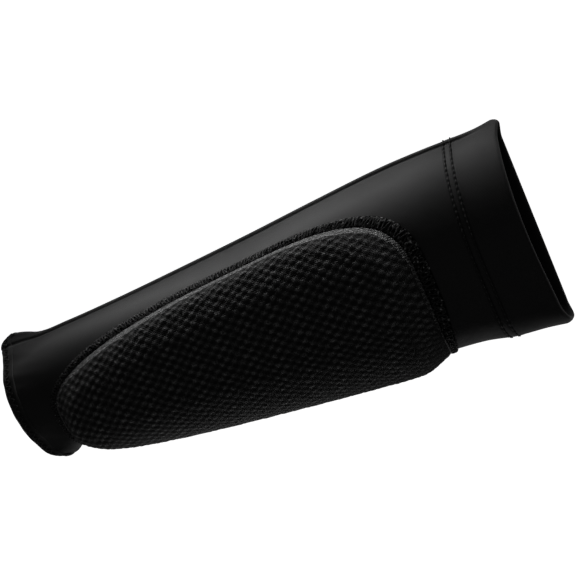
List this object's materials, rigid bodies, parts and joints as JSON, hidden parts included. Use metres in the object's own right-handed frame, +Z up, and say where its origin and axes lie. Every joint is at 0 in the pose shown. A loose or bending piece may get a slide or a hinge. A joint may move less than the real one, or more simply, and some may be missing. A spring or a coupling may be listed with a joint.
{
  "type": "padded forearm sleeve",
  "caption": "Tapered stretch-knit forearm sleeve, open at wrist and elbow, with a thick foam pad in a bumpy mesh cover sewn over its front and one side.",
  "frame": {"origin": "on the surface that the sleeve lies on, under the middle of its box", "axes": "+X along the sleeve from the wrist end to the elbow end, +Z up from the back that it lies on, +Y towards the folded edge of the cloth"},
  "size_m": [0.2618, 0.0914, 0.0385],
  "materials": {
    "jersey": "smooth black stretch knit with a soft sheen",
    "hem_band": "black knit band, stitched and a little waved",
    "pad_mesh": "black bumpy mesh over foam",
    "overlock_thread": "black overlock stitching, textured thread"
  },
  "bodies": {
    "root": {"sleeve": "jersey", "elbow_hem": "jersey", "wrist_hem": "hem_band", "pad": "pad_mesh", "pad_border": "overlock_thread"}
  },
  "joints": []
}
